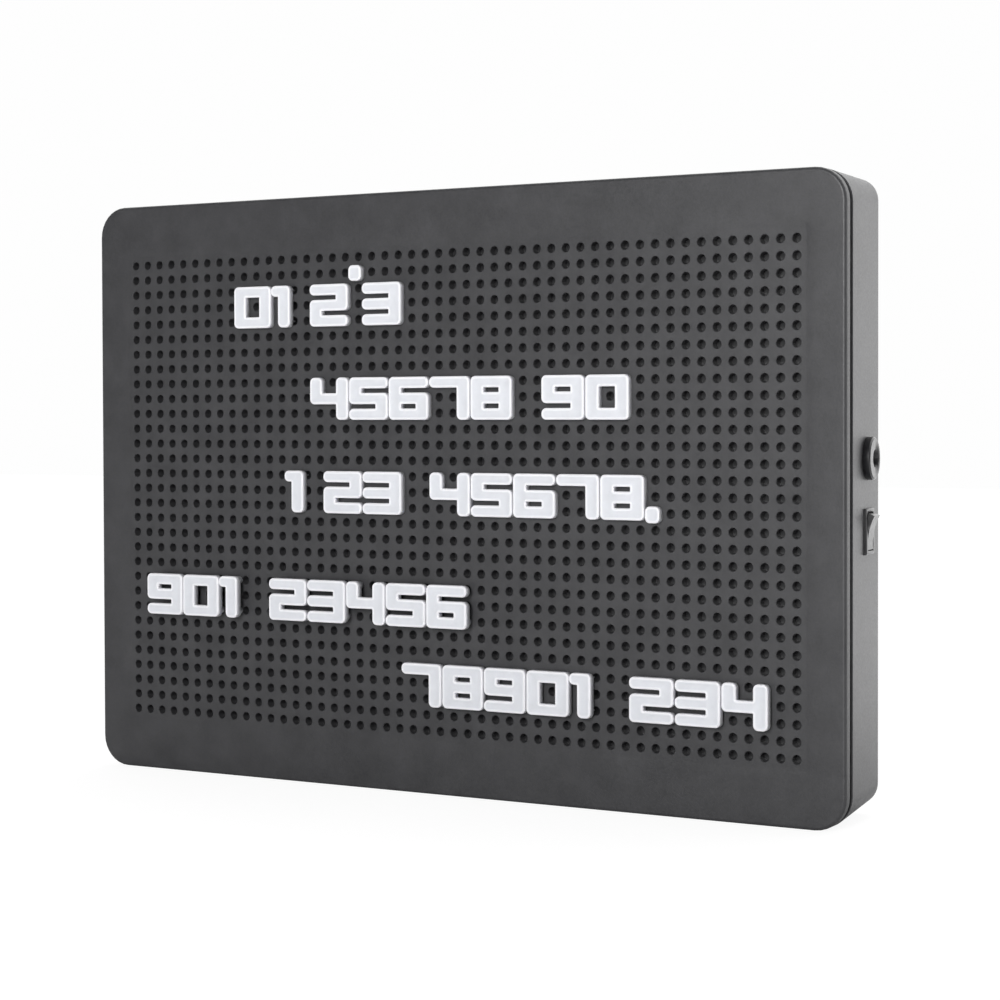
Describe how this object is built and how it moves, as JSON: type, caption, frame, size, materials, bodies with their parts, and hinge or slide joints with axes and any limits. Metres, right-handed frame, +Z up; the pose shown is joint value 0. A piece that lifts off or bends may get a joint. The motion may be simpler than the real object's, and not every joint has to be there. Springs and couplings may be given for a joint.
{
  "type": "peg board light box",
  "caption": "Free-standing light box with a perforated front, plug-in block digits, a side rocker switch and a power inlet.",
  "frame": {"origin": "middle of the base, on the middle rib of the underside, at half the case's depth", "axes": "+X to the viewer's right along the columns of pegs, +Y from the front towards the back, +Z up"},
  "size_m": [0.3013, 0.045, 0.211],
  "materials": {
    "case_plastic": "fine matt moulded ABS, dark grey",
    "opal_tile": "milky moulded polystyrene, slightly translucent",
    "smoked_sheet": "smoked acrylic sheet, nearly black while the lights are off",
    "white_sheet": "white polystyrene sheet",
    "strip_board": "white solder mask on flexible board",
    "chip_resin": "phosphor resin",
    "screw_steel": "blackened steel",
    "contact_metal": "nickel plate",
    "terminal_brass": "tinned brass",
    "switch_plastic": "black nylon, satin",
    "jack_plastic": "black moulded nylon"
  },
  "bodies": {
    "case": {"front_panel": "case_plastic", "rear_housing": "case_plastic", "battery_plates": "contact_metal", "battery_springs": "contact_metal", "diffuser_sheet": "smoked_sheet", "reflector_sheet": "white_sheet", "led_strips": "strip_board", "led_chips": "chip_resin", "case_screws": "screw_steel", "switch_housing": "switch_plastic", "switch_terminals": "terminal_brass", "jack_body": "jack_plastic", "jack_pin": "contact_metal", "jack_nut": "contact_metal", "jack_terminals": "terminal_brass"},
    "rocker": {"switch_rocker": "switch_plastic"},
    "door": {"battery_door": "case_plastic"},
    "row_a_digit_1_body": {"row_a_digit_1": "opal_tile"},
    "row_a_digit_2_body": {"row_a_digit_2": "opal_tile"},
    "row_a_digit_3_body": {"row_a_digit_3": "opal_tile"},
    "row_a_digit_4_body": {"row_a_digit_4": "opal_tile"},
    "row_b_digit_1_body": {"row_b_digit_1": "opal_tile"},
    "row_b_digit_2_body": {"row_b_digit_2": "opal_tile"},
    "row_b_digit_3_body": {"row_b_digit_3": "opal_tile"},
    "row_b_digit_4_body": {"row_b_digit_4": "opal_tile"},
    "row_b_digit_5_body": {"row_b_digit_5": "opal_tile"},
    "row_b_digit_6_body": {"row_b_digit_6": "opal_tile"},
    "row_b_digit_7_body": {"row_b_digit_7": "opal_tile"},
    "row_c_digit_1_body": {"row_c_digit_1": "opal_tile"},
    "row_c_digit_2_body": {"row_c_digit_2": "opal_tile"},
    "row_c_digit_3_body": {"row_c_digit_3": "opal_tile"},
    "row_c_digit_4_body": {"row_c_digit_4": "opal_tile"},
    "row_c_digit_5_body": {"row_c_digit_5": "opal_tile"},
    "row_c_digit_6_body": {"row_c_digit_6": "opal_tile"},
    "row_c_digit_7_body": {"row_c_digit_7": "opal_tile"},
    "row_c_digit_8_body": {"row_c_digit_8": "opal_tile"},
    "row_d_digit_1_body": {"row_d_digit_1": "opal_tile"},
    "row_d_digit_2_body": {"row_d_digit_2": "opal_tile"},
    "row_d_digit_3_body": {"row_d_digit_3": "opal_tile"},
    "row_d_digit_4_body": {"row_d_digit_4": "opal_tile"},
    "row_d_digit_5_body": {"row_d_digit_5": "opal_tile"},
    "row_d_digit_6_body": {"row_d_digit_6": "opal_tile"},
    "row_d_digit_7_body": {"row_d_digit_7": "opal_tile"},
    "row_d_digit_8_body": {"row_d_digit_8": "opal_tile"},
    "row_e_digit_1_body": {"row_e_digit_1": "opal_tile"},
    "row_e_digit_2_body": {"row_e_digit_2": "opal_tile"},
    "row_e_digit_3_body": {"row_e_digit_3": "opal_tile"},
    "row_e_digit_4_body": {"row_e_digit_4": "opal_tile"},
    "row_e_digit_5_body": {"row_e_digit_5": "opal_tile"},
    "row_e_digit_6_body": {"row_e_digit_6": "opal_tile"},
    "row_e_digit_7_body": {"row_e_digit_7": "opal_tile"},
    "row_e_digit_8_body": {"row_e_digit_8": "opal_tile"},
    "row_a_stop_body": {"row_a_stop": "opal_tile"},
    "row_c_stop_body": {"row_c_stop": "opal_tile"}
  },
  "joints": [
    {"name": "rocker_tilt", "type": "hinge", "parent": "case", "child": "rocker", "pos_m": [0.14775, 0.005, 0.0945], "axis": [-0.1158, 0.9933, 0], "range_deg": [-22, 0]},
    {"name": "door_lift_off", "type": "slide", "parent": "case", "child": "door", "axis": [0, 1, 0], "range_m": [0, 0.03]},
    {"name": "row_a_digit_1_pull", "type": "slide", "parent": "case", "child": "row_a_digit_1_body", "axis": [0, -1, 0], "range_m": [0, 0.012]},
    {"name": "row_a_digit_2_pull", "type": "slide", "parent": "case", "child": "row_a_digit_2_body", "axis": [0, -1, 0], "range_m": [0, 0.012]},
    {"name": "row_a_digit_3_pull", "type": "slide", "parent": "case", "child": "row_a_digit_3_body", "axis": [0, -1, 0], "range_m": [0, 0.012]},
    {"name": "row_a_digit_4_pull", "type": "slide", "parent": "case", "child": "row_a_digit_4_body", "axis": [0, -1, 0], "range_m": [0, 0.012]},
    {"name": "row_b_digit_1_pull", "type": "slide", "parent": "case", "child": "row_b_digit_1_body", "axis": [0, -1, 0], "range_m": [0, 0.012]},
    {"name": "row_b_digit_2_pull", "type": "slide", "parent": "case", "child": "row_b_digit_2_body", "axis": [0, -1, 0], "range_m": [0, 0.012]},
    {"name": "row_b_digit_3_pull", "type": "slide", "parent": "case", "child": "row_b_digit_3_body", "axis": [0, -1, 0], "range_m": [0, 0.012]},
    {"name": "row_b_digit_4_pull", "type": "slide", "parent": "case", "child": "row_b_digit_4_body", "axis": [0, -1, 0], "range_m": [0, 0.012]},
    {"name": "row_b_digit_5_pull", "type": "slide", "parent": "case", "child": "row_b_digit_5_body", "axis": [0, -1, 0], "range_m": [0, 0.012]},
    {"name": "row_b_digit_6_pull", "type": "slide", "parent": "case", "child": "row_b_digit_6_body", "axis": [0, -1, 0], "range_m": [0, 0.012]},
    {"name": "row_b_digit_7_pull", "type": "slide", "parent": "case", "child": "row_b_digit_7_body", "axis": [0, -1, 0], "range_m": [0, 0.012]},
    {"name": "row_c_digit_1_pull", "type": "slide", "parent": "case", "child": "row_c_digit_1_body", "axis": [0, -1, 0], "range_m": [0, 0.012]},
    {"name": "row_c_digit_2_pull", "type": "slide", "parent": "case", "child": "row_c_digit_2_body", "axis": [0, -1, 0], "range_m": [0, 0.012]},
    {"name": "row_c_digit_3_pull", "type": "slide", "parent": "case", "child": "row_c_digit_3_body", "axis": [0, -1, 0], "range_m": [0, 0.012]},
    {"name": "row_c_digit_4_pull", "type": "slide", "parent": "case", "child": "row_c_digit_4_body", "axis": [0, -1, 0], "range_m": [0, 0.012]},
    {"name": "row_c_digit_5_pull", "type": "slide", "parent": "case", "child": "row_c_digit_5_body", "axis": [0, -1, 0], "range_m": [0, 0.012]},
    {"name": "row_c_digit_6_pull", "type": "slide", "parent": "case", "child": "row_c_digit_6_body", "axis": [0, -1, 0], "range_m": [0, 0.012]},
    {"name": "row_c_digit_7_pull", "type": "slide", "parent": "case", "child": "row_c_digit_7_body", "axis": [0, -1, 0], "range_m": [0, 0.012]},
    {"name": "row_c_digit_8_pull", "type": "slide", "parent": "case", "child": "row_c_digit_8_body", "axis": [0, -1, 0], "range_m": [0, 0.012]},
    {"name": "row_d_digit_1_pull", "type": "slide", "parent": "case", "child": "row_d_digit_1_body", "axis": [0, -1, 0], "range_m": [-0.0025, 0.012]},
    {"name": "row_d_digit_2_pull", "type": "slide", "parent": "case", "child": "row_d_digit_2_body", "axis": [0, -1, 0], "range_m": [-0.0025, 0.012]},
    {"name": "row_d_digit_3_pull", "type": "slide", "parent": "case", "child": "row_d_digit_3_body", "axis": [0, -1, 0], "range_m": [-0.0025, 0.012]},
    {"name": "row_d_digit_4_pull", "type": "slide", "parent": "case", "child": "row_d_digit_4_body", "axis": [0, -1, 0], "range_m": [-0.0025, 0.012]},
    {"name": "row_d_digit_5_pull", "type": "slide", "parent": "case", "child": "row_d_digit_5_body", "axis": [0, -1, 0], "range_m": [-0.0025, 0.012]},
    {"name": "row_d_digit_6_pull", "type": "slide", "parent": "case", "child": "row_d_digit_6_body", "axis": [0, -1, 0], "range_m": [-0.0025, 0.012]},
    {"name": "row_d_digit_7_pull", "type": "slide", "parent": "case", "child": "row_d_digit_7_body", "axis": [0, -1, 0], "range_m": [-0.0025, 0.012]},
    {"name": "row_d_digit_8_pull", "type": "slide", "parent": "case", "child": "row_d_digit_8_body", "axis": [0, -1, 0], "range_m": [-0.0025, 0.012]},
    {"name": "row_e_digit_1_pull", "type": "slide", "parent": "case", "child": "row_e_digit_1_body", "axis": [0, -1, 0], "range_m": [-0.001, 0.012]},
    {"name": "row_e_digit_2_pull", "type": "slide", "parent": "case", "child": "row_e_digit_2_body", "axis": [0, -1, 0], "range_m": [-0.001, 0.012]},
    {"name": "row_e_digit_3_pull", "type": "slide", "parent": "case", "child": "row_e_digit_3_body", "axis": [0, -1, 0], "range_m": [-0.001, 0.012]},
    {"name": "row_e_digit_4_pull", "type": "slide", "parent": "case", "child": "row_e_digit_4_body", "axis": [0, -1, 0], "range_m": [-0.001, 0.012]},
    {"name": "row_e_digit_5_pull", "type": "slide", "parent": "case", "child": "row_e_digit_5_body", "axis": [0, -1, 0], "range_m": [-0.001, 0.012]},
    {"name": "row_e_digit_6_pull", "type": "slide", "parent": "case", "child": "row_e_digit_6_body", "axis": [0, -1, 0], "range_m": [-0.001, 0.012]},
    {"name": "row_e_digit_7_pull", "type": "slide", "parent": "case", "child": "row_e_digit_7_body", "axis": [0, -1, 0], "range_m": [-0.001, 0.012]},
    {"name": "row_e_digit_8_pull", "type": "slide", "parent": "case", "child": "row_e_digit_8_body", "axis": [0, -1, 0], "range_m": [-0.001, 0.012]},
    {"name": "row_a_stop_pull", "type": "slide", "parent": "case", "child": "row_a_stop_body", "axis": [0, -1, 0], "range_m": [0, 0.012]},
    {"name": "row_c_stop_pull", "type": "slide", "parent": "case", "child": "row_c_stop_body", "axis": [0, -1, 0], "range_m": [0, 0.012]}
  ]
}
